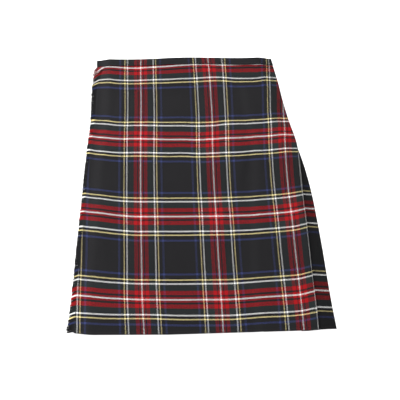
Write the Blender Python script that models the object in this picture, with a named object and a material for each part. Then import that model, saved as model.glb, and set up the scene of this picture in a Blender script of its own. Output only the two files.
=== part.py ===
"""A kilt laid flat: pleated back on the floor, under-apron over it, then the deep side pleat, and
the over-apron with its self-fringed edge on top, under three waistbands.

Frame: +X to the right with the front facing up, +Y from hem to waist, +Z up. The origin is on the
floor under the middle of the part. The tables and sizes below are in millimetres.
"""

from math import cos, pi, sin

import bmesh
import bpy

MM = 0.001

# Cloth
WALL = 1.2                    # one pressed layer of twill
GAP = 0.3                     # clearance between layers and at seams
HALF = WALL / 2
STEP = WALL + GAP             # rise from one layer to the next

# Stations along the kilt
WAIST = 299.6                 # top edge of the waistbands
CLOTH_TOP = 294.0             # raw top edge of the cloth, inside the bands
BAND_ROOM = 1.0               # room between that edge and the turn of the bands
SEAM = 283.0                  # lower edge of the waistbands
LIFT_START = 266.0            # below this the layers are pressed down, above it they rise
LIFT_STOP = 279.0             # from here up they clear the waistband's outer turn
SLOPE_START = 205.0           # the over-apron climbs from here to the thick waist
HEM = -302.6
BACK_HEM_SHORT = 4.0          # the back lies this much above the front hem
UNDER_HEM_SHORT = 3.0

# Outline of the cloth, waist to hem
Y, FRINGE_TIP, FREE_EDGE, LEFT_SIDE, APRON_FOLD, RIGHT_SIDE = range(6)
OUTLINE = (
    # y,     fringe tip, free edge, left side, apron fold, right side
    (300.0, -216.0, -200.5, -210.0, 170.0, 168.0),
    (284.0, -220.5, -198.8, -210.2, 176.0, 174.0),
    (270.0, -221.7, -204.3, -210.8, 179.8, 177.8),
    (240.0, -225.7, -212.8, -211.3, 186.2, 184.2),
    (205.0, -226.7, -215.3, -211.3, 191.8, 189.8),
    (150.0, -228.7, -218.3, -213.8, 203.0, 201.0),
    (95.0, -234.2, -225.8, -220.8, 216.6, 215.6),
    (40.0, -239.2, -230.8, -225.8, 220.2, 229.8),
    (-20.0, -243.7, -234.8, -229.8, 220.6, 240.6),
    (-80.0, -249.2, -239.3, -234.3, 223.4, 247.5),
    (-140.0, -253.7, -242.8, -237.8, 225.3, 253.3),
    (-200.0, -258.2, -247.3, -242.3, 226.9, 258.0),
    (-250.0, -262.2, -250.1, -245.3, 229.6, 262.4),
    (-302.6, -269.2, -252.6, -247.8, 231.2, 268.2),
)
FRONT_STATIONS = (CLOTH_TOP, 284.0, 279.0, 270.0, 266.0, 240.0, 205.0, 150.0, 95.0, 40.0,
                  -20.0, -80.0, -140.0, -200.0, -250.0, HEM)
BACK_STATIONS = (CLOTH_TOP, 279.0, 266.0, 205.0, 95.0, -20.0, -140.0, HEM)

# How the laid cloth bends from square. Near the hem it rises to the left, with more at the fringed
# corner, and a little at the right. Near the waist it waves, rises at the left end and falls to
# the right.
HEM_BEND_FROM = -120.0
HEM_RISE, HEM_RISE_FROM, HEM_RISE_SPAN = 4.0, -65.0, 150.0
CORNER_RISE, CORNER_FROM, CORNER_TO = 5.0, -212.0, -266.0
SIDE_RISE, SIDE_RISE_FROM, SIDE_RISE_TO = 2.4, 205.0, 250.0
WAIST_BEND_FROM, FALL_BEND_FROM = 200.0, 60.0
WAIST_WAVE, WAVE_LENGTH, WAVE_CREST = 0.9, 182.0, -20.0
WAIST_RISE, WAIST_RISE_FROM, WAIST_RISE_TO = 2.2, -165.0, -212.0
WAIST_FALL, WAIST_FALL_FROM, WAIST_FALL_SPAN, WAIST_FALL_CURVE = 4.0, -69.0, 226.0, 1.6

# Knife pleats of the back. Their edges point to -X.
PITCHES = 22                  # pleat widths from the left side to the right
LAST_FACE = 3                 # of these, the plain stretch at the right side
KNIFE_EDGES = PITCHES - LAST_FACE
PLEAT_DEPTH = 1.55            # hidden depth of a pleat, in pleat widths
CLIMB = 0.3                   # run of the climb over the next pleat, in pleat widths
CLIMB_CLEAR = 1.0             # the climb ends this far before that pleat's edge

# Sides and aprons
LEFT_SHOULDER = 30.0          # width over which the layers slope down to the left side
RIGHT_SHOULDER = 34.0
FLAT_BEFORE_FOLD = 12.0
FOLD_ROOM = 1.0               # the side pleat's own fold starts this far inside the apron's
SIDE_PLEAT_DEPTH = 108.0      # the deep pleat under the over-apron, at the hem
SIDE_PLEAT_WAIST = 70.0       # and at the waist
APRON_STEP = 22.0             # width of the over-apron's rise onto that pleat
UNDER_EDGE_INSET = 52.0       # the under-apron's free edge lies this far from the right side
RAW_EDGE = 2.8                # from the fringe's root to the over-apron's woven edge

# Places across a section, from one end of each stretch to the other
SHOULDER_PLACES = 6
FLAT_PLACES = 16
UNDER_FLAT_PLACES = 9
STEP_PLACES = 4
SLOPE_PLACES = 6

# Soft ridges in the over-apron, waist to hem
RIDGES = (
    # x at top, x at hem, y top, y hem, half-width, height
    (-150.0, -172.0, 272.0, 60.0, 16.0, 0.9),
    (20.0, 44.0, 240.0, -40.0, 20.0, 1.1),
    (66.0, 22.0, 60.0, -290.0, 22.0, 1.0),
)

# Waistbands
LEFT_BAND_END = -214.0

# Fringe of the over-apron's free edge
LOCKS = 150
LOCK_WIDTH = 2.3
LOCK_TAPER = 0.6
UNEVEN_REACH, REACH_BEAT = 0.06, 2.4  # locks differ by this share, by a sine along the edge
UNEVEN_FALL, FALL_BEAT = 0.04, 1.7
TIP_HEIGHT = 0.35             # height of a tip, as a share of its root's
STRIP_WIDTH = 2.5
FRINGE_TOP = 281.0
FRINGE_BOTTOM = -300.0
TOP_DROOP, DROOP = 0.45, 0.33  # fall toward the hem for each millimetre outward
TOP_DROOP_SPAN = 50.0
TIP_CLEAR = 0.9               # the lowest tips end this far above the floor
TIP_ON_CLOTH = (225.0, 245.0) # above this stretch the locks lie on the under-apron

# Fastening between the aprons, hidden at the waist
PAD_LEFT, PAD_RIGHT = -150.0, -60.0
PAD_BOTTOM, PAD_TOP = 284.5, 293.5

BLACK_CLOTH = (0.035, 0.022, 0.024, 1.0)
RED_CLOTH = (0.110, 0.018, 0.022, 1.0)
FRINGE_CLOTH = (0.160, 0.030, 0.030, 1.0)
PAD_BLACK = (0.020, 0.020, 0.022, 1.0)
SHARP_ANGLE = 0.6             # between faces, in radians


def smooth(value, start, stop):
    """0 at start, 1 at stop, with a soft turn at both."""
    t = min(max((value - start) / (stop - start), 0.0), 1.0)
    return t * t * (3.0 - 2.0 * t)


def mix(low, high, share):
    return low + (high - low) * share


def outline(y, column):
    """A column of the outline at y, straight between its rows."""
    for above, below in zip(OUTLINE, OUTLINE[1:]):
        if y >= below[Y]:
            break
    share = (y - below[Y]) / (above[Y] - below[Y])
    return mix(below[column], above[column], share)


def lay(x, y):
    """The y at which a point of the squared-up kilt comes to lie."""
    hem = HEM_RISE * max(HEM_RISE_FROM - x, 0.0) / HEM_RISE_SPAN
    hem += CORNER_RISE * smooth(-x, -CORNER_FROM, -CORNER_TO)
    hem += SIDE_RISE * smooth(x, SIDE_RISE_FROM, SIDE_RISE_TO)
    waist = WAIST_WAVE * cos(2.0 * pi * (x - WAVE_CREST) / WAVE_LENGTH)
    waist += WAIST_RISE * smooth(-x, -WAIST_RISE_FROM, -WAIST_RISE_TO)
    right = max(x - WAIST_FALL_FROM, 0.0) / WAIST_FALL_SPAN
    fall = WAIST_FALL * right**WAIST_FALL_CURVE
    return (y + hem * smooth(-y, -HEM_BEND_FROM, -HEM) + waist * smooth(y, WAIST_BEND_FROM, SEAM)
            - fall * smooth(y, FALL_BEND_FROM, SEAM))


# Heights of the layers' middles, each at x and y


def lift(y):
    """Rise of the back over the waistband's outer turn."""
    return STEP * min(max((y - LIFT_START) / (LIFT_STOP - LIFT_START), 0.0), 1.0)


def level(count, y):
    return HALF + count * STEP + lift(y)


def side_pleat_inner(y):
    depth = mix(SIDE_PLEAT_DEPTH, SIDE_PLEAT_WAIST, smooth(y, HEM, WAIST))
    return outline(y, APRON_FOLD) - depth


def under_z(x, y):
    inside = smooth(x, outline(y, LEFT_SIDE), outline(y, LEFT_SIDE) + LEFT_SHOULDER)
    return mix(level(1, y), level(5, y), inside)


def side_pleat_z(x, y):
    side = outline(y, RIGHT_SIDE)
    inside = smooth(side - x, 0.0, RIGHT_SHOULDER)
    high = level(6, y) + STEP * smooth(y, SLOPE_START, LIFT_STOP)
    return mix(level(1, y), high, inside)


def ridges(x, y):
    """Soft ridges, each fading out at both of its ends."""
    height = 0.0
    for x_top, x_hem, y_top, y_hem, half_width, crest in RIDGES:
        along = (y_top - y) / (y_top - y_hem)
        if 0.0 < along < 1.0:
            across = abs(x - mix(x_top, x_hem, along)) / half_width
            height += crest * sin(pi * along) * (1.0 - smooth(across, 0.0, 1.0))
    return height


def apron_z(x, y):
    waist = smooth(y, SLOPE_START, LIFT_STOP)
    inside = smooth(x, outline(y, LEFT_SIDE), outline(y, LEFT_SIDE) + LEFT_SHOULDER)
    over_under = under_z(x, y) + STEP + mix(STEP, 3 * STEP, inside) * waist
    over_pleat = side_pleat_z(x, y) + 2 * STEP
    inner = side_pleat_inner(y)
    on_pleat = smooth(x, inner - APRON_STEP, inner - HALF)
    return mix(over_under, over_pleat, on_pleat) + ridges(x, y) * (1.0 - on_pleat)


# Section curves. Each is a list of (x, z) middles of the wall; a level run is thickened up and
# down, and a fold is an upright stretch thickened to both sides.


def spread(start, stop, count):
    return [mix(start, stop, i / (count - 1)) for i in range(count)]


def right_slope(y):
    """Places on the slope at the right, shared by the layers that lie on each other there."""
    fold, side = outline(y, APRON_FOLD), outline(y, RIGHT_SIDE)
    start = min(side - RIGHT_SHOULDER, fold - FLAT_BEFORE_FOLD)
    return spread(start, min(fold, side) - HALF - FOLD_ROOM, SLOPE_PLACES)


def over_apron_section(y):
    free = outline(y, FREE_EDGE) + RAW_EDGE
    inner = side_pleat_inner(y)
    shoulder = outline(y, LEFT_SIDE) + LEFT_SHOULDER
    slope = right_slope(y) + [outline(y, APRON_FOLD) - HALF]
    step = spread(inner - APRON_STEP, inner, STEP_PLACES)
    columns = spread(free, shoulder, SHOULDER_PLACES) + spread(shoulder, step[0], FLAT_PLACES)[1:]
    columns += step[1:] + [mix(inner, slope[0], 0.5)] + slope
    top = [(x, apron_z(x, y)) for x in columns]
    return top + [(x, side_pleat_z(x, y) + STEP) for x in slope[::-1] + [inner]]


def pleat_lines(y):
    """Left side and pleat width, straight between the back's stations."""
    for above, below in zip(BACK_STATIONS, BACK_STATIONS[1:]):
        if y >= below:
            break
    share = (y - below) / (above - below)
    left, right = [mix(outline(below, side), outline(above, side), share)
                   for side in (LEFT_SIDE, RIGHT_SIDE)]
    return left, (right - left) / PITCHES


def pleat_width(y):
    return pleat_lines(y)[1]


def knife_edge(count, y):
    left, width = pleat_lines(y)
    return left + count * width


def climb_points(count, low, y):
    """Climb of a layer by two levels before a knife edge."""
    top = knife_edge(count, y) - CLIMB_CLEAR
    return [(top - CLIMB * pleat_width(y), level(low, y)), (top, level(low + 2, y))]


def hidden_end(count, y):
    return knife_edge(count, y) + PLEAT_DEPTH * pleat_width(y)


def outer_layer(count, y):
    """From the face of one pleat, up over the next two pleats, to its inner fold."""
    over_two = count + 2 <= KNIFE_EDGES
    points = climb_points(count + 1, 0, y)
    if over_two:
        points += climb_points(count + 2, 2, y)
    return points + [(hidden_end(count + 1, y), level(4 if over_two else 2, y))]


def return_layer(count, y):
    """From an inner fold back to the next knife edge, and down to the face."""
    points = [(hidden_end(count + 1, y), level(3, y))]
    points += [(x, z - STEP) for x, z in reversed(climb_points(count + 2, 2, y))]
    edge = knife_edge(count + 1, y) + HALF
    return points + [(edge, level(1, y)), (edge, level(0, y))]


def back_section(y):
    points = return_layer(0, y)
    for count in range(1, KNIFE_EDGES - 1):
        points += outer_layer(count, y) + return_layer(count, y)
    return points + outer_layer(KNIFE_EDGES - 1, y)


def under_apron_section(y):
    free = outline(y, RIGHT_SIDE) - UNDER_EDGE_INSET
    side = outline(y, LEFT_SIDE) + HALF
    shoulder = spread(side + LEFT_SHOULDER, side, SHOULDER_PLACES)
    columns = spread(free, shoulder[0], UNDER_FLAT_PLACES) + shoulder[1:]
    return [(x, under_z(x, y)) for x in columns] + [(side, level(0, y))] + outer_layer(0, y)


def side_pleat_section(y):
    side = outline(y, RIGHT_SIDE) - HALF
    edge = knife_edge(KNIFE_EDGES, y) + HALF
    slope = right_slope(y)
    columns = [side_pleat_inner(y)] + slope + [mix(slope[-1], side, 0.5), side]
    points = [(x, side_pleat_z(x, y)) for x in columns]
    points += [(side, level(0, y)), (edge, level(0, y)), (edge, level(1, y))]
    return points + [(edge + pleat_width(y), level(1, y))]


# Solids


def normal(start, stop):
    """Unit side vector of a run (straight up or down) or of a fold (to one side)."""
    dx, dz = stop[0] - start[0], stop[1] - start[1]
    if abs(dx) < GAP / 2:
        return (-1.0 if dz > 0 else 1.0, 0.0)
    return (0.0, 1.0 if dx > 0 else -1.0)


def wall_sides(points):
    """Both faces of the wall along a section, as two lists of (x, z)."""
    normals = [normal(a, b) for a, b in zip(points, points[1:])]
    left, right = [], []
    for i, (x, z) in enumerate(points):
        before, after = normals[max(i - 1, 0)], normals[min(i, len(normals) - 1)]
        nx = before[0] if before == after else before[0] + after[0]
        nz = before[1] if before == after else before[1] + after[1]
        left.append((x + nx * HALF, z + nz * HALF))
        right.append((x - nx * HALF, z - nz * HALF))
    return left, right


def add_object(name, mesh, color, roughness=0.85):
    mesh.shade_smooth()
    mesh.set_sharp_from_angle(angle=SHARP_ANGLE)
    material = bpy.data.materials.new(name)
    material.use_nodes = True
    shader = material.node_tree.nodes["Principled BSDF"]
    shader.inputs["Base Color"].default_value = color
    shader.inputs["Roughness"].default_value = roughness
    shader.inputs["Metallic"].default_value = 0.0
    mesh.materials.append(material)
    bpy.context.scene.collection.objects.link(bpy.data.objects.new(name, mesh))


def finish_mesh(name, bm, color):
    bmesh.ops.recalc_face_normals(bm, faces=bm.faces)
    mesh = bpy.data.meshes.new(name)
    bm.to_mesh(mesh)
    bm.free()
    add_object(name, mesh, color)


def cloth(name, section, stations, color, hem_short=0.0):
    """A wall of cloth through its section at each station along the kilt."""
    bm = bmesh.new()
    rows = []
    for y in stations:
        sides = wall_sides(section(y))
        y_cut = max(y, HEM + hem_short)
        rows.append([[bm.verts.new((x * MM, lay(x, y_cut) * MM, z * MM)) for x, z in side]
                     for side in sides])
    last = len(rows[0][0]) - 1
    for (left, right), (left_below, right_below) in zip(rows, rows[1:]):
        for face, below in ((left, left_below), (right, right_below)):
            for i in range(last):
                a, b, c, d = face[i], face[i + 1], below[i + 1], below[i]
                if b.co.x >= a.co.x:
                    bm.faces.new((a, b, c))
                    bm.faces.new((a, c, d))
                else:
                    bm.faces.new((a, b, d))
                    bm.faces.new((b, c, d))
        for i in (0, last):
            bm.faces.new((left[i], right[i], right_below[i], left_below[i]))
    for left, right in (rows[0], rows[-1]):
        for i in range(last):
            bm.faces.new((left[i], left[i + 1], right[i + 1], right[i]))
    finish_mesh(name, bm, color)


def band_stations(start, stop):
    """Ends of a waistband, and between them the places where the layers below it bend."""
    left, right = outline(SEAM, LEFT_SIDE), outline(SEAM, RIGHT_SIDE)
    inner = side_pleat_inner(SEAM)
    bends = spread(left, left + LEFT_SHOULDER, SHOULDER_PLACES + 1)
    bends += spread(left + LEFT_SHOULDER, inner, FLAT_PLACES)[1:-1]
    bends += spread(inner - APRON_STEP, inner, STEP_PLACES + 1)
    bends += spread(right - RIGHT_SHOULDER, right, SLOPE_PLACES + 2)
    return [start] + [x for x in sorted(bends) if start + WALL < x < stop - WALL] + [stop]


def band(name, ends, profile, color):
    """A waistband: its profile of (y, z) points at stations from one end to the other."""
    bm = bmesh.new()
    rings = []
    for x in band_stations(*ends):
        rings.append([bm.verts.new((x * MM, lay(x, y) * MM, z * MM)) for y, z in profile(x)])
    sides = len(rings[0])
    for ring, following in zip(rings, rings[1:]):
        for i in range(sides):
            j = (i + 1) % sides
            bm.faces.new((ring[i], ring[j], following[j], following[i]))
    for ring in (rings[0], rings[-1]):
        bm.faces.new(ring)
    bmesh.ops.triangulate(bm, faces=bm.faces)
    finish_mesh(name, bm, color)


def turned_over(top_face, cloth_under):
    """Profile of a strip over the cloth's face, its top edge turned down past the raw edge."""
    turn = CLOTH_TOP + BAND_ROOM
    return [(SEAM, top_face), (WAIST, top_face), (WAIST, cloth_under), (turn, cloth_under),
            (turn, top_face - WALL), (SEAM, top_face - WALL)]


def front_band_profile(x):
    middle = apron_z(x, SEAM)
    return turned_over(middle + STEP + HALF, middle - HALF)


def under_band_profile(x):
    middle = under_z(x, SEAM)
    return turned_over(middle + STEP + HALF, middle - HALF)


def back_band_profile(x):
    """The strip lies under the pleats, and its top edge stands up round their raw ends."""
    stack_top = min(under_z(x, SEAM), side_pleat_z(x, SEAM)) - HALF - GAP
    web = WAIST - WALL
    return [(SEAM, 0.0), (WAIST, 0.0), (WAIST, stack_top), (web, stack_top), (web, WALL),
            (SEAM, WALL)]


def fringe():
    """A narrow strip along the free edge, with a lock standing out at each step along it."""
    bm = bmesh.new()
    pitch = (FRINGE_TOP - FRINGE_BOTTOM) / LOCKS
    rings = []
    for i in range(LOCKS):
        y_lock = FRINGE_TOP - pitch * (i + 0.5)
        for y in (y_lock + LOCK_WIDTH / 2, y_lock - LOCK_WIDTH / 2):
            root = outline(y, FREE_EDGE)
            z = apron_z(root + STRIP_WIDTH, y)
            corners = ((root, z + HALF), (root + STRIP_WIDTH, z + HALF),
                       (root + STRIP_WIDTH, z - HALF), (root, z - HALF))
            rings.append([bm.verts.new((x * MM, lay(x, y) * MM, h * MM)) for x, h in corners])
    for i, (ring, following) in enumerate(zip(rings, rings[1:])):
        for side in range(3):
            bm.faces.new((ring[side], ring[side + 1], following[side + 1], following[side]))
        root_face = (ring[3], ring[0], following[0], following[3])
        if i % 2:
            bm.faces.new(root_face)
        else:
            add_lock(bm, root_face, i // 2, FRINGE_TOP - pitch * (i // 2 + 0.5))
    for ring in (rings[0], rings[-1]):
        bm.faces.new(ring)
    bmesh.ops.triangulate(bm, faces=bm.faces)
    finish_mesh("apron_fringe", bm, FRINGE_CLOTH)


def add_lock(bm, root_face, index, y):
    """One tapered lock from the strip's outer face, falling outward, hemward and down."""
    root_x = outline(y, FREE_EDGE)
    uneven = UNEVEN_REACH * (1.0 + sin(index * REACH_BEAT))
    reach = (root_x - outline(y, FRINGE_TIP)) * (1.0 - uneven)
    fall = mix(DROOP, TOP_DROOP, smooth(y, FRINGE_TOP - TOP_DROOP_SPAN, FRINGE_TOP))
    fall += UNEVEN_FALL * sin(index * FALL_BEAT)
    root_z = apron_z(root_x + STRIP_WIDTH, y)
    low = max(root_z * TIP_HEIGHT, TIP_CLEAR + HALF * LOCK_TAPER)
    tip_z = mix(low, level(2, y), smooth(y, *TIP_ON_CLOTH))
    centre = sum((v.co.copy() for v in root_face), root_face[0].co * 0.0) / 4
    end = []
    for vert in root_face:
        out = (vert.co - centre) * LOCK_TAPER
        y_tip = max(centre.y - reach * fall * MM, (HEM + LOCK_WIDTH) * MM)
        end.append(bm.verts.new((centre.x - reach * MM, y_tip + out.y, tip_z * MM + out.z)))
    for i in range(4):
        j = (i + 1) % 4
        bm.faces.new((root_face[i], root_face[j], end[j], end[i]))
    bm.faces.new(end)


def pad(name, z_bottom):
    """A plain strip of fastening tape between the aprons."""
    bm = bmesh.new()
    rows = []
    for x in (PAD_LEFT, PAD_RIGHT):
        corners = ((PAD_BOTTOM, 0.0), (PAD_TOP, 0.0), (PAD_TOP, WALL), (PAD_BOTTOM, WALL))
        rows.append([bm.verts.new((x * MM, lay(x, y) * MM, (z_bottom + z) * MM))
                     for y, z in corners])
    for i in range(4):
        j = (i + 1) % 4
        bm.faces.new((rows[0][i], rows[0][j], rows[1][j], rows[1][i]))
    for row in rows:
        bm.faces.new(row)
    finish_mesh(name, bm, PAD_BLACK)


for old in list(bpy.data.objects):
    bpy.data.objects.remove(old, do_unlink=True)

cloth("back_pleats", back_section, BACK_STATIONS, BLACK_CLOTH, BACK_HEM_SHORT)
cloth("under_apron", under_apron_section, FRONT_STATIONS, BLACK_CLOTH, UNDER_HEM_SHORT)
cloth("side_pleat", side_pleat_section, FRONT_STATIONS, BLACK_CLOTH)
cloth("over_apron", over_apron_section, FRONT_STATIONS, RED_CLOTH)
band("back_band", (outline(SEAM, LEFT_SIDE), outline(SEAM, RIGHT_SIDE)), back_band_profile, BLACK_CLOTH)
band("under_band", (outline(SEAM, LEFT_SIDE), outline(SEAM, RIGHT_SIDE) - UNDER_EDGE_INSET),
     under_band_profile, BLACK_CLOTH)
band("front_band", (LEFT_BAND_END, outline(SEAM, APRON_FOLD) + GAP), front_band_profile, RED_CLOTH)
fringe()
pad("closure_loop", under_z(PAD_LEFT, SEAM) + STEP + HALF + GAP)
pad("closure_hook", apron_z(PAD_LEFT, SEAM) - HALF - STEP)
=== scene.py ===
"""A kilt laid flat: tartan twill over its pleated back, with a self-fringed over-apron.

Sizes and places are in millimetres, in the frame's axes, until a mesh is made.
"""

from functools import lru_cache
from math import cos, floor, hypot, pi, radians, sin
from random import Random

import bpy
from mathutils import Matrix, Vector


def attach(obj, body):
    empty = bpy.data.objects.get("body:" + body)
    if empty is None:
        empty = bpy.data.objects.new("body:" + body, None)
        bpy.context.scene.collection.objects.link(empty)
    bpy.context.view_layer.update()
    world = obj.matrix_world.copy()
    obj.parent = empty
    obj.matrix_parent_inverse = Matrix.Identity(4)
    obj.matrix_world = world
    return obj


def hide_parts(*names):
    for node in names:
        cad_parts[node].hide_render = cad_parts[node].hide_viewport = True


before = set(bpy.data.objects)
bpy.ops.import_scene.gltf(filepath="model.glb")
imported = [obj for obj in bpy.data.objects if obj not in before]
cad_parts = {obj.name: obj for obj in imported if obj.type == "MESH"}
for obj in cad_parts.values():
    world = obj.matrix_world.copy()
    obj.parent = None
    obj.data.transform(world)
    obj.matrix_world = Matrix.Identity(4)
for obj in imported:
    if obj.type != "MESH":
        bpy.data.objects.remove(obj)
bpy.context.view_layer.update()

MM = 0.001

# ---------------------------------------------------------------- the laid kilt, as its solids have it

WALL = 1.2                    # thickness of a layer
GAP = 0.3                     # room between two layers
HALF = WALL / 2
STEP = WALL + GAP

WAIST = 299.6                 # top of the waistbands
CLOTH_TOP = 294.0
SEAM = 283.0                  # lower edge of the waistbands
LIFT_START = 266.0            # the layers rise over the back's waistband between these two
LIFT_STOP = 279.0
SLOPE_START = 205.0
HEM = -303.4
BACK_HEM_SHORT = 4.0
UNDER_HEM_SHORT = 3.0

FRINGE_TIP, FREE_EDGE, LEFT_SIDE, APRON_FOLD, RIGHT_SIDE = range(1, 6)
OUTLINE = (
    # y,     fringe tip, free edge, left side, apron fold, right side
    (300.0, -216.0, -200.5, -210.0, 170.0, 168.0),
    (284.0, -220.5, -198.8, -210.2, 176.0, 174.0),
    (270.0, -221.7, -204.3, -210.8, 179.8, 177.8),
    (240.0, -225.7, -212.8, -211.3, 186.2, 184.2),
    (205.0, -226.7, -215.3, -211.3, 191.8, 189.8),
    (150.0, -228.7, -218.3, -213.8, 203.0, 201.0),
    (95.0, -234.2, -225.8, -220.8, 216.6, 215.6),
    (40.0, -239.2, -230.8, -225.8, 220.2, 229.8),
    (-20.0, -243.7, -234.8, -229.8, 220.6, 240.6),
    (-80.0, -249.2, -239.3, -234.3, 223.4, 247.5),
    (-140.0, -253.7, -242.8, -237.8, 225.3, 253.3),
    (-200.0, -258.2, -247.3, -242.3, 226.9, 258.0),
    (-250.0, -262.2, -250.1, -245.3, 229.6, 262.4),
    (-302.6, -269.2, -252.6, -247.8, 231.2, 268.2),
)

# How the hem and the waist bend once the kilt is laid down
HEM_BEND_FROM = -120.0
HEM_RISE, HEM_RISE_FROM, HEM_RISE_SPAN = 4.0, -65.0, 150.0
CORNER_RISE, CORNER_FROM, CORNER_TO = 5.0, -212.0, -266.0
SIDE_RISE, SIDE_RISE_FROM, SIDE_RISE_TO = 2.4, 205.0, 250.0
WAIST_BEND_FROM, FALL_BEND_FROM = 200.0, 60.0
WAIST_WAVE, WAVE_LENGTH, WAVE_CREST = 0.9, 182.0, -20.0
WAIST_RISE, WAIST_RISE_FROM, WAIST_RISE_TO = 2.2, -165.0, -212.0
WAIST_FALL, WAIST_FALL_FROM, WAIST_FALL_SPAN, WAIST_FALL_CURVE = 4.0, -69.0, 226.0, 1.6

PITCHES = 22                  # faces of pleats across the back
LAST_FACE = 3                 # faces that the last pleat and the side take up
KNIFE_EDGES = PITCHES - LAST_FACE
PLEAT_DEPTH = 1.55            # of a pleat's hidden part, in faces
CLIMB = 0.3                   # a layer climbs over this much of a face
CLIMB_CLEAR = 1.0

LEFT_SHOULDER = 30.0          # the stack slopes down to its sides over these widths
RIGHT_SHOULDER = 34.0
SIDE_PLEAT_DEPTH = 108.0      # at the hem
SIDE_PLEAT_WAIST = 70.0       # and at the waist
APRON_STEP = 22.0             # the over-apron climbs onto the side pleat over this width
UNDER_EDGE_INSET = 52.0
LEFT_BAND_END = -214.0

LESS_ON_PLEAT = 0.6           # share of a ridge's height that is lost over the side pleat
RIDGES = (
    # x at top, x at hem, y top, y hem, half-width, height
    (-150.0, -172.0, 272.0, 60.0, 16.0, 0.9),
    (20.0, 44.0, 240.0, -40.0, 20.0, 1.1),
    (66.0, 22.0, 60.0, -290.0, 22.0, 1.0),
    # finer ones, which the solids leave out
    (88.0, 84.0, 120.0, -60.0, 18.0, 1.3),
    (-60.0, -78.0, 180.0, -30.0, 26.0, 0.5),
    (-190.0, -196.0, 40.0, -280.0, 18.0, 0.6),
    (140.0, 150.0, 20.0, -270.0, 26.0, 0.5),
    (-120.0, -96.0, -90.0, -295.0, 24.0, 0.6),
    (112.0, 138.0, 262.0, 130.0, 16.0, 0.6),
    (108.0, 90.0, 92.0, 2.0, 11.0, 1.1),
)

# ---------------------------------------------------------------- the woven repeat

REPEAT = 157.0                # across, from one middle white stripe to the next
REPEAT_DOWN = 173.0           # and down
WARP_THREADS, WEFT_THREADS = 1, 2
STRIPES = (
    # yarn, threads of warp, threads of weft, from the middle of a white stripe to that of the black;
    # the other half of the repeat is their mirror image
    ("white", 3, 3),
    ("red", 8, 8),
    ("black", 5, 8),
    ("red", 15, 16),
    ("green", 29, 25),
    ("white", 6, 6),
    ("black", 7, 10),
    ("yellow", 5, 5),
    ("black", 15, 16),
    ("blue", 9, 8),
    ("black", 68, 65),
)
HALF_REPEAT = sum(stripe[WARP_THREADS] for stripe in STRIPES)
THREADS = 2 * HALF_REPEAT     # in a repeat, the same for warp and weft
YARN = {
    # in linear light
    "white": (0.93, 0.93, 0.92),
    "yellow": (0.93, 0.79, 0.36),
    "red": (0.346, 0.0030, 0.0055),
    "green": (0.0145, 0.0200, 0.0200),
    "blue": (0.028, 0.039, 0.130),
    "black": (0.0083, 0.0080, 0.0089),
}

# Where the stripes lie on the over-apron, as handling has pulled them
WARP_LINES = (
    # y,    x of the middle white stripe of repeats -1, 0, 1 and 2
    (300.0, -272.5, -115.7, 31.5, 199.5),
    (258.0, -273.2, -116.5, 34.4, 197.2),
    (214.0, -273.0, -116.3, 35.7, 195.3),
    (170.0, -273.0, -116.4, 36.8, 192.3),
    (128.0, -274.0, -117.2, 36.5, 191.9),
    (85.0, -274.8, -117.8, 35.4, 189.8),
    (0.0, -275.0, -118.2, 35.7, 189.7),
    (-75.0, -274.8, -117.8, 37.7, 193.3),
    (-150.0, -274.8, -117.1, 38.8, 195.7),
    (-217.0, -276.1, -116.5, 40.6, 198.5),
    (-260.0, -276.1, -114.9, 41.9, 200.2),
    (-302.0, -276.0, -112.6, 42.7, 201.1),
)
WEFT_PLACES = (0.0, 0.18, 0.82, 1.0, 1.18, 2.0, 3.0, 3.18)     # repeats down
WEFT_LINES = (
    # x,     y of each of these places
    (-265.0, 292.0, 262.5, 160.6, 132.0, 101.3, -38.5, -217.0, -251.0),
    (-240.0, 289.3, 259.9, 156.2, 127.5, 97.0, -43.3, -220.0, -254.1),
    (-200.0, 284.6, 256.5, 149.7, 118.4, 87.2, -50.9, -226.0, -258.2),
    (-165.0, 280.0, 251.4, 143.2, 113.1, 82.6, -56.6, -229.3, -260.2),
    (-130.0, 277.1, 249.7, 142.5, 112.5, 81.8, -60.4, -232.1, -261.1),
    (-95.0, 278.2, 250.2, 141.2, 110.7, 80.4, -61.5, -233.6, -262.5),
    (-60.0, 279.3, 250.2, 139.3, 108.3, 78.3, -62.5, -235.0, -264.7),
    (-30.0, 280.9, 251.0, 138.8, 107.8, 78.0, -63.3, -235.9, -266.2),
    (0.0, 281.9, 251.0, 136.9, 106.1, 75.8, -63.8, -236.4, -266.9),
    (35.0, 281.2, 252.2, 136.5, 106.3, 75.0, -64.5, -237.5, -268.0),
    (60.0, 279.1, 251.4, 138.8, 108.0, 76.2, -65.0, -237.7, -268.4),
    (90.0, 279.0, 248.2, 139.6, 108.0, 75.8, -64.7, -236.7, -267.3),
    (120.0, 279.8, 246.4, 138.9, 108.7, 77.8, -64.8, -235.5, -266.2),
    (140.0, 278.5, 247.1, 139.0, 108.7, 77.3, -63.9, -234.8, -265.8),
    (165.0, 280.7, 250.4, 140.6, 109.8, 78.5, -62.6, -234.0, -265.7),
    (200.0, 279.8, 250.5, 143.6, 113.2, 81.7, -59.5, -232.4, -263.8),
    (228.0, 279.4, 250.5, 143.3, 113.2, 83.2, -53.7, -226.6, -259.6),
    (247.0, 279.4, 250.5, 143.3, 113.2, 83.2, -53.7, -226.4, -258.8),
)
SIDE_STRIPE_FALL = 0.03       # the side pleat's weft falls this much to the right
SIDE_STRIPE_RAISE = 2.6       # and starts this far above the apron's
SIDE_SETT = 0.38              # place in the repeat of the right side's fold
BAND_SETT = 0.46              # place in the repeat of the waistbands' weft
BACK_WIDTH = 266.0 + 247.0    # near the hem, to its right side and to its left
PITCH_SETT = BACK_WIDTH / PITCHES / REPEAT      # part of a repeat that a face shows
LEFT_SETT = SIDE_SETT - PITCHES * PITCH_SETT
KNIFE_SETT = 0.015            # part of a repeat before a knife edge at which its fold starts

# ---------------------------------------------------------------- the shown cloth

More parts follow.
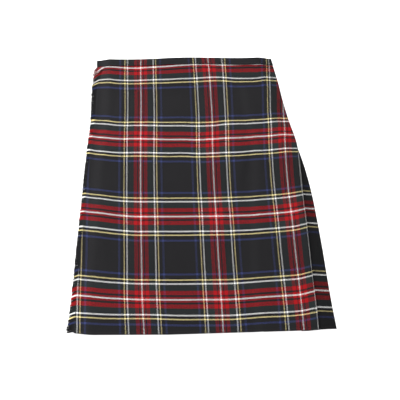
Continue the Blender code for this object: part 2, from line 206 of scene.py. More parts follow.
SHEET = 1.0                   # thickness of the shown twill
FRONT_ROWS = 122              # stations from waist to hem
BACK_ROWS = 62
APRON_SPOTS, APRON_RETURN_SPOTS = 104, 24
UNDER_SPOTS = 40
SIDE_SPOTS, SIDE_BACK_SPOTS = 34, 8
CLIMB_SPOTS = 6
TURN_STEPS = 8                # of a round fold
FRAY_REACH = 1.5              # the free edge is worn this far in
HEM_WEAR, HEM_WEAR_REACH = 0.6, 3.0
SHARP_ANGLE = radians(50.0)

# ---------------------------------------------------------------- camera and light

TILT = radians(17.0)          # from straight down
TURN = 0.0302                 # about the upright axis
DISTANCE = 1438.0
AIM = Vector((5.25, -25.65, 0.0))
SENSOR = 36.0
LENS = 61.74

LIGHTS = (
    # name, size and power, place in metres
    ("key", 1.8, 299.0, (-3.0, 2.0, 2.0)),
    ("top", 1.6, 21.3, (-0.2, 0.9, 2.2)),
)
STUDIO_LIGHT = 0.425
FLOOR_LIGHT = 0.9             # the floor's own, so that it stays white
FLOOR_REACH = 6.0             # metres


def smooth(value, start, stop):
    """0 at start, 1 at stop, with a soft turn at both."""
    t = min(max((value - start) / (stop - start), 0.0), 1.0)
    return t * t * (3.0 - 2.0 * t)


def mix(low, high, share):
    return low + (high - low) * share


def spread(start, stop, count):
    return [mix(start, stop, i / (count - 1)) for i in range(count)]


def follow(rows, at, column):
    """A column of a table at a place in its first one, on a smooth curve through its rows."""
    at = min(max(at, min(rows[0][0], rows[-1][0])), max(rows[0][0], rows[-1][0]))
    for i, (row, following) in enumerate(zip(rows, rows[1:])):
        if (at - row[0]) * (at - following[0]) <= 0.0:
            break
    before, after = rows[max(i - 1, 0)], rows[min(i + 2, len(rows) - 1)]
    span = following[0] - row[0]
    t = (at - row[0]) / span
    leave = (following[column] - before[column]) / (following[0] - before[0]) * span
    arrive = (after[column] - row[column]) / (after[0] - row[0]) * span
    return ((2 * t**3 - 3 * t**2 + 1) * row[column] + (t**3 - 2 * t**2 + t) * leave
            + (3 * t**2 - 2 * t**3) * following[column] + (t**3 - t**2) * arrive)


@lru_cache(maxsize=None)
def outline(y, column):
    return follow(OUTLINE, y, column)


def lay(x, y):
    """The y at which a point of the squared-up kilt comes to lie."""
    hem = HEM_RISE * max(HEM_RISE_FROM - x, 0.0) / HEM_RISE_SPAN
    hem += CORNER_RISE * smooth(-x, -CORNER_FROM, -CORNER_TO)
    hem += SIDE_RISE * smooth(x, SIDE_RISE_FROM, SIDE_RISE_TO)
    waist = WAIST_WAVE * cos(2.0 * pi * (x - WAVE_CREST) / WAVE_LENGTH)
    waist += WAIST_RISE * smooth(-x, -WAIST_RISE_FROM, -WAIST_RISE_TO)
    right = max(x - WAIST_FALL_FROM, 0.0) / WAIST_FALL_SPAN
    fall = WAIST_FALL * right**WAIST_FALL_CURVE
    return (y + hem * smooth(-y, -HEM_BEND_FROM, -HEM) + waist * smooth(y, WAIST_BEND_FROM, SEAM)
            - fall * smooth(y, FALL_BEND_FROM, SEAM))


def level(count, y):
    """Middle of a layer of the stack, counted from the floor."""
    return HALF + count * STEP + STEP * smooth(y, LIFT_START, LIFT_STOP)


@lru_cache(maxsize=None)
def side_pleat_inner(y):
    depth = mix(SIDE_PLEAT_DEPTH, SIDE_PLEAT_WAIST, smooth(y, HEM, WAIST))
    return outline(y, APRON_FOLD) - depth


def under_z(x, y):
    """Middle of the under-apron's layer, as side_pleat_z and apron_z give theirs."""
    inside = smooth(x, outline(y, LEFT_SIDE), outline(y, LEFT_SIDE) + LEFT_SHOULDER)
    return mix(level(1, y), level(5, y), inside)


def side_pleat_z(x, y):
    inside = smooth(outline(y, RIGHT_SIDE) - x, 0.0, RIGHT_SHOULDER)
    return mix(level(1, y), level(6, y) + STEP * smooth(y, SLOPE_START, LIFT_STOP), inside)


def ridges(x, y):
    """Soft ridges, each fading out at both of its ends."""
    height = 0.0
    for x_top, x_hem, y_top, y_hem, half_width, crest in RIDGES:
        along = (y_top - y) / (y_top - y_hem)
        if 0.0 < along < 1.0:
            across = abs(x - mix(x_top, x_hem, along)) / half_width
            height += crest * sin(pi * along) * (1.0 - smooth(across, 0.0, 1.0))
    return height


def apron_z(x, y):
    waist = smooth(y, SLOPE_START, LIFT_STOP)
    inside = smooth(x, outline(y, LEFT_SIDE), outline(y, LEFT_SIDE) + LEFT_SHOULDER)
    over_under = under_z(x, y) + STEP + mix(STEP, 3 * STEP, inside) * waist
    over_pleat = side_pleat_z(x, y) + 2 * STEP
    inner = side_pleat_inner(y)
    on_pleat = smooth(x, inner - APRON_STEP, inner - HALF)
    return mix(over_under, over_pleat, on_pleat) + ridges(x, y) * (1.0 - LESS_ON_PLEAT * on_pleat)


# ---------------------------------------------------------------- places in the woven repeat


def warp_at(x, y):
    """Repeats across, counted from the middle white stripe of repeat 0."""
    lines = [follow(WARP_LINES, y, column) for column in range(1, 5)]
    for n, (line, following) in enumerate(zip(lines, lines[1:])):
        if x < following:
            return n - 1 + (x - line) / (following - line)
    return 2 + (x - lines[-1]) / REPEAT


def weft_at(x, y):
    """Repeats down, counted from the middle white stripe under the waistband."""
    lines = [follow(WEFT_LINES, x, column + 1) for column in range(len(WEFT_PLACES))]
    if y > lines[0]:
        return (lines[0] - y) / REPEAT_DOWN
    for n, (line, following) in enumerate(zip(lines, lines[1:])):
        if y > following:
            return mix(WEFT_PLACES[n], WEFT_PLACES[n + 1], (line - y) / (line - following))
    return WEFT_PLACES[-1] + (lines[-1] - y) / REPEAT_DOWN


def side_weft_at(x, y):
    """The same on the side pleat, whose weft runs level from the apron's fold."""
    fold = outline(y, APRON_FOLD)
    return weft_at(fold, y - SIDE_STRIPE_RAISE + SIDE_STRIPE_FALL * (x - fold))


def back_weft_at(x, y):
    left, right = outline(y, LEFT_SIDE), outline(y, RIGHT_SIDE)
    share = min(max((x - left) / (right - left), 0.0), 1.0)
    return mix(weft_at(left, y), side_weft_at(right, y), share)


# ---------------------------------------------------------------- sections
# A section is a list of spots, each with its x, z, place across the repeat and wear


def turn(edge, z_from, z_to, side, sett_from, sett_step):
    """Round fold; edge is the outermost x of the wall's middle, and side is -1 at a left fold."""
    radius = abs(z_to - z_from) / 2
    spots = []
    for i in range(TURN_STEPS + 1):
        angle = pi * i / TURN_STEPS
        x = edge - side * radius * (1.0 - sin(angle))
        z = mix(z_from, z_to, (1.0 - cos(angle)) / 2)
        spots.append((x, z, sett_from + sett_step * angle * radius / REPEAT, sin(angle)))
    return spots


def over_apron_section(y):
    free, fold = outline(y, FREE_EDGE), outline(y, APRON_FOLD) - HALF
    inner = side_pleat_inner(y)
    radius = STEP / 2
    top = []
    for x in spread(free, fold - radius, APRON_SPOTS):
        fray = 1.0 - smooth(x - free, 0.0, FRAY_REACH)
        top.append((x, apron_z(x, y), warp_at(x, lay(x, y)), fray))
    fold_z, return_z = apron_z(fold, y), side_pleat_z(fold, y) + STEP
    folded = turn(fold, fold_z, return_z, 1, top[-1][2], 1)
    back = []
    for x in spread(fold - radius, inner, APRON_RETURN_SPOTS)[1:]:
        sett = folded[-1][2] + (fold - radius - x) / REPEAT
        back.append((x, side_pleat_z(x, y) + STEP, sett, 0.0))
    return top + folded[1:] + back


def climb(count, low, y):
    """Soft climb of a layer by two levels before a knife edge, as (x, z) places."""
    left, width = outline(y, LEFT_SIDE), pleat_width(y)
    top = left + count * width - CLIMB_CLEAR
    start = top - CLIMB * width
    return [(x, mix(level(low, y), level(low + 2, y), smooth(x, start, top)))
            for x in spread(start, top, CLIMB_SPOTS)]


@lru_cache(maxsize=None)
def pleat_width(y):
    return (outline(y, RIGHT_SIDE) - outline(y, LEFT_SIDE)) / PITCHES


def knife_edge(count, y):
    return outline(y, LEFT_SIDE) + count * pleat_width(y)


def hidden_end(count, y):
    return knife_edge(count, y) + PLEAT_DEPTH * pleat_width(y)


def outer_layer(count, y):
    """From the face of one pleat, up over the next two pleats, to its inner fold."""
    over_two = count + 2 <= KNIFE_EDGES
    places = climb(count + 1, 0, y) + (climb(count + 2, 2, y) if over_two else [])
    places.append((hidden_end(count + 1, y), level(4 if over_two else 2, y)))
    edge = knife_edge(count, y)
    return [(x, z, LEFT_SETT + count * PITCH_SETT + (x - edge) / REPEAT, 0.0) for x, z in places]


def return_layer(count, y):
    """From an inner fold back to the next knife edge, and round it to the face."""
    edge = knife_edge(count + 1, y)
    sett = LEFT_SETT + (count + 1) * PITCH_SETT
    places = [(hidden_end(count + 1, y), level(3, y))]
    places += [(x, z - STEP) for x, z in reversed(climb(count + 2, 2, y))]
    spots = [(x, z, sett - (x - edge) / REPEAT, 0.0) for x, z in places]
    return spots + turn(edge + HALF, level(1, y), level(0, y), -1, sett - KNIFE_SETT, 1)


def back_section(y):
    spots = return_layer(0, y)
    for count in range(1, KNIFE_EDGES - 1):
        spots += outer_layer(count, y) + return_layer(count, y)
    return spots + outer_layer(KNIFE_EDGES - 1, y)


def under_apron_section(y):
    free = outline(y, RIGHT_SIDE) - UNDER_EDGE_INSET
    side, radius = outline(y, LEFT_SIDE) + HALF, STEP / 2
    spots = [(x, under_z(x, y), LEFT_SETT - (x - side) / REPEAT, 0.0)
             for x in spread(free, side + radius, UNDER_SPOTS)]
    spots += turn(side, under_z(side, y), level(0, y), -1, LEFT_SETT, 1)[1:]
    return spots + outer_layer(0, y)


def side_pleat_section(y):
    side, radius = outline(y, RIGHT_SIDE) - HALF, STEP / 2
    edge = knife_edge(KNIFE_EDGES, y)
    spots = [(x, side_pleat_z(x, y), SIDE_SETT + (side - x) / REPEAT, 0.0)
             for x in spread(side_pleat_inner(y), side - radius, SIDE_SPOTS)]
    spots += turn(side, side_pleat_z(side, y), level(0, y), 1, SIDE_SETT, -1)[1:]
    spots += [(x, level(0, y), SIDE_SETT - (side - x) / REPEAT, 0.0)
              for x in spread(side - radius, edge + HALF + radius, SIDE_BACK_SPOTS)[1:]]
    spots += turn(edge + HALF, level(0, y), level(1, y), -1, spots[-1][2], -1)[1:]
    tail = edge + pleat_width(y)
    return spots + [(tail, level(1, y), spots[-1][2] - (tail - edge) / REPEAT, 0.0)]


# ---------------------------------------------------------------- meshes


def shown_object(name, points, faces, setts, material, node, wear=None, thickness=None):
    """A piece from points in millimetres, with its place in the repeat as a UV map."""
    mesh = bpy.data.meshes.new(name)
    mesh.from_pydata([(x * MM, y * MM, z * MM) for x, y, z in points], [], faces)
    if setts:
        layer = mesh.uv_layers.new(name="sett")
        corners = [0] * len(mesh.loops)
        mesh.loops.foreach_get("vertex_index", corners)
        layer.uv.foreach_set("vector", [part for corner in corners for part in setts[corner]])
    if wear:
        mesh.attributes.new("wear", "FLOAT", "POINT").data.foreach_set("value", wear)
    mesh.materials.append(material)
    piece = bpy.data.objects.new(name, mesh)
    bpy.context.scene.collection.objects.link(piece)
    if thickness:
        thicken(piece, thickness)
    mesh = piece.data
    mesh.shade_smooth()
    mesh.set_sharp_from_angle(angle=SHARP_ANGLE)
    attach(piece, "root")
    if node:
        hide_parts(node)
    return piece


def thicken(piece, thickness):
    """Gives a sheet its thickness, half to each side."""
    solidify = piece.modifiers.new("thickness", "SOLIDIFY")
    solidify.thickness = thickness * MM
    solidify.offset = 0.0
    view = bpy.context.evaluated_depsgraph_get()
    thick = bpy.data.meshes.new_from_object(piece.evaluated_get(view))
    piece.modifiers.clear()
    thin, piece.data = piece.data, thick
    bpy.data.meshes.remove(thin)


def grid_faces(rows, columns, closed=False):
    faces = []
    for r in range(rows - 1):
        for c in range(columns if closed else columns - 1):
            following = (c + 1) % columns
            faces.append((r * columns + c, r * columns + following,
                          (r + 1) * columns + following, (r + 1) * columns + c))
    return faces


def cloth(name, section, rows, weft, material, node, hem_short=0.0):
    """A sheet of cloth through its section at each station from the waist to the hem."""
    points, setts, wear = [], [], []
    for y in spread(CLOTH_TOP, HEM + hem_short, rows):
        spots = section(y)
        near_hem = 1.0 - smooth(y - HEM - hem_short, 0.0, HEM_WEAR_REACH)
        for x, z, across, worn in spots:
            laid = lay(x, y)
            points.append((x, laid, z))
            setts.append((across, weft(x, laid)))
            wear.append(max(worn, HEM_WEAR * near_hem))
    faces = grid_faces(rows, len(spots))
    return shown_object(name, points, faces, setts, material, node, wear, SHEET)


# ---------------------------------------------------------------- waistbands

BAND_SHEET = 0.55             # the strip's own cloth, doubled at its lower edge
BAND_TUCK = 8.0               # cloth turned under at the lower edge
BAND_TURN = 1.3               # radius of the top edge
BAND_DEEPER = 0.2             # least depth of the far edge below that turn
BAND_CROWN = 0.25
BAND_COLUMN = 4.0             # width between two columns of its mesh
TUCK_ROWS, FLAT_ROWS = 4, 9
BAND_SAG, SAG_AT, SAG_REACH = 1.7, 118.0, 75.0
END_SLANT, SLANT_REACH = 3.6, 14.0


def band_profile(end_depth):
    """(y, depth below the outer face) along the strip, from its tucked edge to its far one."""
    outer, inner = BAND_SHEET / 2, WALL - BAND_SHEET / 2
    middle, radius = (outer + inner) / 2, (inner - outer) / 2
    path = [(y, inner) for y in spread(SEAM + BAND_TUCK, SEAM + outer + radius, TUCK_ROWS)]
    for i in range(1, TURN_STEPS + 1):
        angle = pi * i / TURN_STEPS
        path.append((SEAM + outer + radius * (1.0 - sin(angle)), middle + radius * cos(angle)))
    flat = spread(SEAM + outer + radius, WAIST - BAND_TURN, FLAT_ROWS)[1:]
    width = flat[-1] - SEAM
    path += [(y, outer - BAND_CROWN * sin(pi * (y - SEAM) / width)) for y in flat]
    arc = BAND_TURN - outer
    for i in range(1, TURN_STEPS + 1):
        angle = pi / 2 * i / TURN_STEPS
        path.append((WAIST - BAND_TURN + arc * sin(angle), outer + arc * (1.0 - cos(angle))))
    return path + [(WAIST - outer, max(end_depth, BAND_TURN + BAND_DEEPER))]


def sag(x):
    """How far the over-apron's waistband hangs lower at its right half."""
    return BAND_SAG * (1.0 - smooth(abs(x - SAG_AT), 0.0, SAG_REACH))


def slant(x, y, end):
    """How far the right end of a waistband leans in towards its top."""
    return END_SLANT * smooth(x, end - SLANT_REACH, end) * (y - SEAM) / (WAIST - SEAM)


def band(name, ends, outer_face, far_face, down, node, material, loose=False):
    """A waistband strip. down is -1 where depth runs down from its outer face, or 1 on the back.

    A loose strip hangs lower at its right half and leans in at its right end.
    """
    columns = max(int((ends[1] - ends[0]) / BAND_COLUMN), 2)
    points, setts = [], []
    for x in spread(*ends, columns):
        end_depth = abs(far_face(x) - outer_face(x)) - BAND_SHEET / 2
        along = 0.0
        path = band_profile(end_depth)
        for i, (y, depth) in enumerate(path):
            if i:
                along += hypot(y - path[i - 1][0], depth - path[i - 1][1])
            laid = lay(x, y)
            shown_x = x - slant(x, y, ends[1]) if loose else x
            shown_y = laid - sag(x) if loose else laid
            points.append((shown_x, shown_y, outer_face(x) + down * depth))
            across = warp_at(x, laid) if down < 0 else LEFT_SETT + (x - ends[0]) / REPEAT
            setts.append((across, BAND_SETT + along / REPEAT_DOWN))
    faces = grid_faces(columns, len(path))
    return shown_object(name, points, faces, setts, material, node, None, BAND_SHEET)


STITCH, STITCH_PITCH, STITCH_RADIUS = 2.5, 3.3, 0.2
STITCH_INSET = 1.6            # above the waistband's lower edge
STITCH_STEPS, STITCH_SIDES = 5, 5
STITCH_BOW, STITCH_BITE = 2.2, 1.1      # rise of its middle and depth of its ends, in radii


def stitch_row(name, ends, y, face, material):
    """Lock stitches along a waistband, each one dipping into the cloth at both ends."""
    points, faces = [], []
    x = ends[0] + STITCH_PITCH
    while x + STITCH < ends[1] - STITCH_PITCH:
        path = []
        for i in range(STITCH_STEPS):
            share = i / (STITCH_STEPS - 1)
            lift = STITCH_RADIUS * (STITCH_BOW * sin(pi * share) - STITCH_BITE)
            at = x + STITCH * share
            path.append(Vector((at, lay(at, y), face(at) + lift)))
        add_tube(points, faces, path, STITCH_RADIUS, STITCH_SIDES)
        x += STITCH_PITCH
    return shown_object(name, points, faces, None, material, None)


def add_tube(points, faces, path, radius, sides, tip=1.0):
    """A closed tube along a path, its radius at the far end times tip."""
    start = len(points)
    for i, place in enumerate(path):
        before, after = path[max(i - 1, 0)], path[min(i + 1, len(path) - 1)]
        run = (after - before).normalized()
        side = run.cross(Vector((0.0, 0.0, 1.0))).normalized()
        rise = side.cross(run)
        size = radius * mix(1.0, tip, i / (len(path) - 1))
        for k in range(sides):
            angle = 2.0 * pi * k / sides
            points.append(tuple(place + size * (cos(angle) * side + sin(angle) * rise)))
    for i in range(len(path) - 1):
        for k in range(sides):
            a, b = start + i * sides + k, start + i * sides + (k + 1) % sides
            faces.append((a, b, b + sides, a + sides))
    faces.append(tuple(start + k for k in reversed(range(sides))))
    faces.append(tuple(start + (len(path) - 1) * sides + k for k in range(sides)))


# ---------------------------------------------------------------- fringe

YARNS = 5200
YARN_RADIUS, YARN_SIDES = 0.32, 3
YARN_STEPS = 5
YARN_TIP = 0.75               # its radius at the tip, as a share of that at the root
YARNS_A_LOCK = 34
FRINGE_TOP, FRINGE_BOTTOM = 297.0, -301.0
ROOT_INSET = 1.6

# Ranges that chance picks from; a reach is a share of the distance to the fringe's tips
LOCK_REACH, LOCK_FALL = (0.92, 1.05), 0.025
YARN_REACH, YARN_FALL = (0.72, 1.06), 0.05
YARN_PLACE = (0.2, 0.8)       # in its share of the edge
ROOT_SCATTER, TIP_SCATTER = 0.3, 1.6
BOW_FROM, BOW_TO, BOW_TO_UNDER_BAND = -0.5, 0.9, -0.2

LOCK_DRAW = 0.14              # how far a lock's yarns draw together at their tips
BOW_HEIGHT = 0.8
DROP_FROM, LIFT_FROM = 0.1, 0.7         # places along a yarn
TIP_ON_CLOTH = (225.0, 245.0)           # the tips rise from the floor to the cloth between these
TIP_CLEAR, YARN_CLEAR = 0.6, 0.45       # above the floor
TANGLE, TANGLE_FROM, TANGLE_TO = 16.0, 264.0, 272.0     # near the waist the yarns mingle this far

FALL, BEND, REACH, LIFT = range(1, 5)
DROOP = (
    # y,   fall for each millimetre of reach, power of its bend, share of full reach, lift of the tips
    (297.0, 1.00, 2.30, 1.18, 2.0),
    (288.0, 1.05, 2.00, 1.13, 2.0),
    (284.0, 0.75, 1.30, 1.06, 0.0),
    (276.0, 0.62, 1.20, 1.04, 0.0),
    (266.0, 0.62, 1.20, 1.02, 0.0),
    (255.0, 0.62, 1.20, 1.00, 0.0),
    (225.0, 0.15, 1.20, 1.00, 0.0),
    (190.0, 0.00, 1.20, 1.00, 0.0),
    (-60.0, 0.02, 1.20, 1.00, 0.0),
    (-130.0, 0.25, 1.20, 1.00, 0.0),
    (-230.0, 0.35, 1.20, 1.00, 0.0),
    (-270.0, 0.32, 1.20, 1.00, 0.0),
    (-290.0, 0.28, 1.20, 1.00, 0.0),
    (-302.0, 0.12, 1.20, 0.90, 0.0),
)


def fringe(material):
    """Loose weft yarns along the over-apron's free edge, drawn together into uneven locks."""
    chance = Random(11)
    points, faces, setts, tones = [], [], [], []
    pitch = (FRINGE_TOP - FRINGE_BOTTOM) / YARNS
    for i in range(YARNS):
        if i % YARNS_A_LOCK == 0:
            lock_reach = chance.uniform(*LOCK_REACH)
            lock_fall = chance.uniform(-LOCK_FALL, LOCK_FALL)
            lock_middle = FRINGE_TOP - (i + YARNS_A_LOCK / 2) * pitch
        y = FRINGE_TOP - (i + chance.uniform(*YARN_PLACE)) * pitch
        root = outline(y, FREE_EDGE)
        reach = (root - outline(y, FRINGE_TIP)) * lock_reach * chance.uniform(*YARN_REACH)
        reach *= follow(DROOP, y, REACH)
        fall = follow(DROOP, y, FALL) + lock_fall + chance.uniform(-YARN_FALL, YARN_FALL)
        bend = follow(DROOP, y, BEND)
        draw = LOCK_DRAW * (lock_middle - y)
        root_z = apron_z(root + ROOT_INSET, y) + chance.uniform(-ROOT_SCATTER, ROOT_SCATTER)
        floor_z = TIP_CLEAR + chance.uniform(0.0, TIP_SCATTER)
        tip_z = mix(floor_z, level(2, y), smooth(y, *TIP_ON_CLOTH))
        lift = follow(DROOP, y, LIFT)
        bow = chance.uniform(BOW_FROM, BOW_TO if y < SEAM else BOW_TO_UNDER_BAND)
        woven = weft_at(root, lay(root, y))
        tangle = TANGLE * smooth(y, TANGLE_FROM, TANGLE_TO) * chance.uniform(-1.0, 1.0)
        path = []
        for step in range(YARN_STEPS):
            t = step / (YARN_STEPS - 1)
            x = root + ROOT_INSET - (reach + ROOT_INSET) * t
            down = reach * fall * t**bend - draw * t * t
            z = mix(root_z, tip_z, smooth(t, DROP_FROM, 1.0)) + bow * sin(pi * t) * BOW_HEIGHT
            z += lift * smooth(t, LIFT_FROM, 1.0)
            path.append(Vector((x, max(lay(root, y) - down, lay(x, HEM)), max(z, YARN_CLEAR))))
            setts += [(0.5, woven + tangle * t / REPEAT_DOWN)] * YARN_SIDES
        first = len(points)
        add_tube(points, faces, path, YARN_RADIUS, YARN_SIDES, YARN_TIP)
        tones += [chance.uniform(0.0, 1.0)] * (len(points) - first)
    return shown_object("apron_fringe_yarns", points, faces, setts, material,
                        "apron_fringe", tones)


# ---------------------------------------------------------------- fastening tape

TAPE_LEFT, TAPE_RIGHT = -150.0, -60.0
TAPE_BOTTOM, TAPE_TOP = 284.5, 293.5
TAPE_EDGE = 0.35              # radius of its edges
TAPE_COLUMNS, EDGE_SPOTS = 24, 4


def tape(name, z_bottom, node, material):
    """A strip of fastening tape with rounded edges."""
    ring = []
    for corner_y, corner_z, start in ((TAPE_TOP, WALL, 0.0), (TAPE_BOTTOM, WALL, 90.0),
                                      (TAPE_BOTTOM, 0.0, 180.0), (TAPE_TOP, 0.0, 270.0)):
        centre_y = corner_y + (TAPE_EDGE if corner_y == TAPE_BOTTOM else -TAPE_EDGE)
        centre_z = corner_z + (TAPE_EDGE if corner_z == 0.0 else -TAPE_EDGE)
        for i in range(EDGE_SPOTS):
            angle = radians(start + 90.0 / (EDGE_SPOTS - 1) * i)
            ring.append((centre_y + TAPE_EDGE * cos(angle), centre_z + TAPE_EDGE * sin(angle)))
    points = []
    for x in spread(TAPE_LEFT, TAPE_RIGHT, TAPE_COLUMNS):
        points += [(x, lay(x, y), z_bottom + z) for y, z in ring]
    faces = grid_faces(TAPE_COLUMNS, len(ring), closed=True)
    far_end = len(points) - len(ring)
    faces += [tuple(reversed(range(len(ring)))), tuple(range(far_end, len(points)))]
    return shown_object(name, points, faces, None, material, node)


# ---------------------------------------------------------------- finishes


class Value:
    """A socket of a finish, for sums written as Python expressions."""

    def __init__(self, finish, socket):
        self.finish, self.socket = finish, socket

    def maths(self, operation, *numbers):
        return self.finish.node("Math", {"operation": operation}, dict(enumerate(numbers)))

    def __add__(self, other):
        return self.maths("ADD", self, other)

    __radd__ = __add__

    def __mul__(self, other):
        return self.maths("MULTIPLY", self, other)

    __rmul__ = __mul__

    def __sub__(self, other):
        return self.maths("SUBTRACT", self, other)

    def __rsub__(self, other):
        return self.maths("SUBTRACT", other, self)

    def __lt__(self, other):
        return self.maths("LESS_THAN", self, other)

    def __mod__(self, other):
        return self.maths("FLOORED_MODULO", self, other)

    def __abs__(self):
        return self.maths("ABSOLUTE", self)

    def __floor__(self):
        return self.maths("FLOOR", self)


class Finish:
    """A material made of nodes, ending in one Principled shader."""

    def __init__(self, name, **constants):
        self.material = bpy.data.materials.new(name)
        self.material.use_nodes = True
        self.nodes, self.links = self.material.node_tree.nodes, self.material.node_tree.links
        self.shader = self.nodes["Principled BSDF"]
        for socket, value in constants.items():
            self.shader.inputs[socket.replace("_", " ")].default_value = value

    def node(self, kind, settings=None, inputs=None, output=0):
        """Any node of a finish: its settings first, then the values or links of its sockets."""
        node = self.nodes.new("ShaderNode" + kind)
        for setting, value in (settings or {}).items():
            setattr(node, setting, value)
        for key, value in (inputs or {}).items():
            self.feed(node.inputs[key], value)
        return Value(self, node.outputs[output])

    def feed(self, socket, value):
        if isinstance(value, Value):
            self.links.new(value.socket, socket)
        else:
            socket.default_value = value

    def blend(self, share, low, high, kind="MIX"):
        """Colour between low and high."""
        inputs = {0: share, 6: low, 7: high}
        return self.node("Mix", {"data_type": "RGBA", "blend_type": kind}, inputs, output=2)

    def place_in_sett(self):
        """Repeats across and down, from the piece's own map."""
        place = self.node("UVMap", {"uv_map": "sett"})
        return [self.node("SeparateXYZ", None, {0: place}, output=i) for i in (0, 1)]

    def grain(self, scale, detail=2.0):
        """Soft noise from 0 to 1, with scale grains a metre."""
        place = self.node("TexCoord", output=3)
        return self.node("TexNoise", None, {"Vector": place, "Scale": scale, "Detail": detail})

    def output(self, colour=None, roughness=None, height=None, depth=0.0):
        if colour is not None:
            self.feed(self.shader.inputs["Base Color"], colour)
        if roughness is not None:
            self.feed(self.shader.inputs["Roughness"], roughness)
        if height is not None:
            bump = self.node("Bump", None, {"Distance": depth, "Height": height})
            self.feed(self.shader.inputs["Normal"], bump)
        return self.material


WARP_COVER = 0.53             # share of a warp float's cell that the warp yarn covers
WEFT_COVER = 0.86             # and of a weft float's; the rest is painted shade between the yarns, in the darker yarn's colour
WEFT_LOWER = 0.85             # a weft float's height beside a warp float's
THREAD_HEIGHT = 0.11
FUZZ_SHEEN_GREY = (0.061, 0.061, 0.066)  # grey of loose fibre ends, partly real fuzz and partly painted sheen where they catch the light
CLOUD_GRAIN, FUZZ_GRAIN = 14.0, 900.0   # grains a metre
# how much fibre grey, partly painted sheen, the noise and the wear bring
CLOUD_HAZE, FUZZ_HAZE, WEAR_HAZE = 0.06, 0.09, 0.10
ROUGH, CLOUD_ROUGH, FUZZ_ROUGH = 0.78, 0.08, 0.10
FUZZ_HEIGHT = 0.5             # beside a warp float's
SIDE_PAINTED_SHADE = 0.64               # painted shade: the side pleat's dyed yarns and haze are painted darker, where it slopes away from the light
LOOSE_YARN_SHADE = 0.88             # painted shade: loose yarn shades itself, so its dyed colours are painted this much darker


def dyed(yarn, depth):
    """Colour of a yarn; depth, which carries painted shade, darkens only the dyed yarns and leaves
    white yarn alone.
    """
    dye = depth if yarn != "white" else 1.0
    return (*(part * dye for part in YARN[yarn]), 1.0)


def yarn_colour(finish, count, column, depth=1.0):
    """Colour of a thread from its number, by its distance from the middle white stripe."""
    place = (count + 0.5) * (1.0 / THREADS)
    from_middle = abs((place + 0.5) % 1.0 - 0.5) * THREADS
    colour, stripe_end = dyed(STRIPES[-1][0], depth), HALF_REPEAT - STRIPES[-1][column]
    for stripe in reversed(STRIPES[:-1]):
        colour = finish.blend(from_middle < stripe_end, colour, dyed(stripe[0], depth))
        stripe_end -= stripe[column]
    return colour


def tartan(name, depth=1.0):
    """Two-and-two twill of striped warp and weft. A lower depth is painted shade, which darkens its
    dyed yarns and its haze.
    """
    finish = Finish(name, Sheen_Weight=0.07, Sheen_Roughness=0.45, Specular_IOR_Level=0.087)
    across, down = (place * THREADS for place in finish.place_in_sett())
    warp_count, weft_count = floor(across), floor(down)
    in_warp, in_weft = across - warp_count, down - weft_count
    warp_middle, weft_middle = abs(in_warp - 0.5), abs(in_weft - 0.5)
    warp_float = (warp_count + weft_count) % 4.0 < 2.0
    warp_up = warp_float * (warp_middle < WARP_COVER / 2)
    weft_up = (1.0 - warp_float) * (weft_middle < WEFT_COVER / 2)
    warp = yarn_colour(finish, warp_count, WARP_THREADS, depth)
    weft = yarn_colour(finish, weft_count, WEFT_THREADS, depth)
    # painted shade in the gaps between yarns: the darker of the two yarn colours
    between = finish.blend(1.0, warp, weft, "DARKEN")
    weave = finish.blend(warp_up, finish.blend(weft_up, between, weft), warp)
    cloud = finish.grain(CLOUD_GRAIN, 3.0)
    fuzz = finish.grain(FUZZ_GRAIN)
    worn = finish.node("Attribute", {"attribute_name": "wear"}, output=2)
    # fibre grey and painted sheen from noise and wear; a lower depth, the painted shade, takes some
    # away
    fuzz_sheen = (fuzz * FUZZ_HAZE + cloud * CLOUD_HAZE + worn * WEAR_HAZE) * depth
    colour = finish.blend(fuzz_sheen, weave, (*FUZZ_SHEEN_GREY, 1.0))
    warp_round = 1.0 - warp_middle * warp_middle * 4.0
    weft_round = 1.0 - weft_middle * weft_middle * 4.0
    height = warp_up * warp_round + (1.0 - warp_up) * weft_round * WEFT_LOWER
    height += fuzz * FUZZ_HEIGHT
    roughness = ROUGH + cloud * CLOUD_ROUGH + fuzz * FUZZ_ROUGH
    return finish.output(colour, roughness, height, THREAD_HEIGHT * MM)


def fringe_yarn():
    """Loose yarn in the colour of the weft stripe that it comes from."""
    finish = Finish("fringe_yarn", Roughness=0.9, Specular_IOR_Level=0.175)
    down = finish.place_in_sett()[1]
    # painted shade darkens the loose yarn's dyed colours
    yarn = yarn_colour(finish, floor(down * THREADS), WEFT_THREADS, LOOSE_YARN_SHADE)
    tone = finish.node("Attribute", {"attribute_name": "wear"}, output=2)
    fuzz = finish.grain(1500.0)
    # random tone and fuzz blend in fibre grey, partly painted sheen
    colour = finish.blend(tone * 0.08 + fuzz * 0.06, yarn, (*FUZZ_SHEEN_GREY, 1.0))
    return finish.output(colour, None, fuzz, 0.2 * MM)


def sewing_thread():
    finish = Finish("black_thread", Roughness=0.55, Sheen_Weight=0.1)
    ply = finish.grain(2500.0)
    colour = finish.blend(ply, (0.012, 0.012, 0.013, 1.0), (0.035, 0.035, 0.038, 1.0))
    return finish.output(colour, None, ply, 0.1 * MM)


def woven_tape():
    finish = Finish("fastening_tape", Roughness=0.9, Sheen_Weight=0.2)
    pile = finish.grain(1800.0, 4.0)
    colour = finish.blend(pile, (0.010, 0.010, 0.011, 1.0), (0.040, 0.040, 0.043, 1.0))
    return finish.output(colour, None, pile, 0.6 * MM)


def floor_finish():
    finish = Finish("white_floor", Roughness=0.9, Specular_IOR_Level=0.1)
    paper = finish.grain(6.0)
    colour = finish.blend(paper, (0.90, 0.90, 0.90, 1.0), (0.93, 0.93, 0.93, 1.0))
    finish.shader.inputs["Emission Color"].default_value = (1.0, 1.0, 1.0, 1.0)
    finish.shader.inputs["Emission Strength"].default_value = FLOOR_LIGHT
    return finish.output(colour)


# ---------------------------------------------------------------- stage


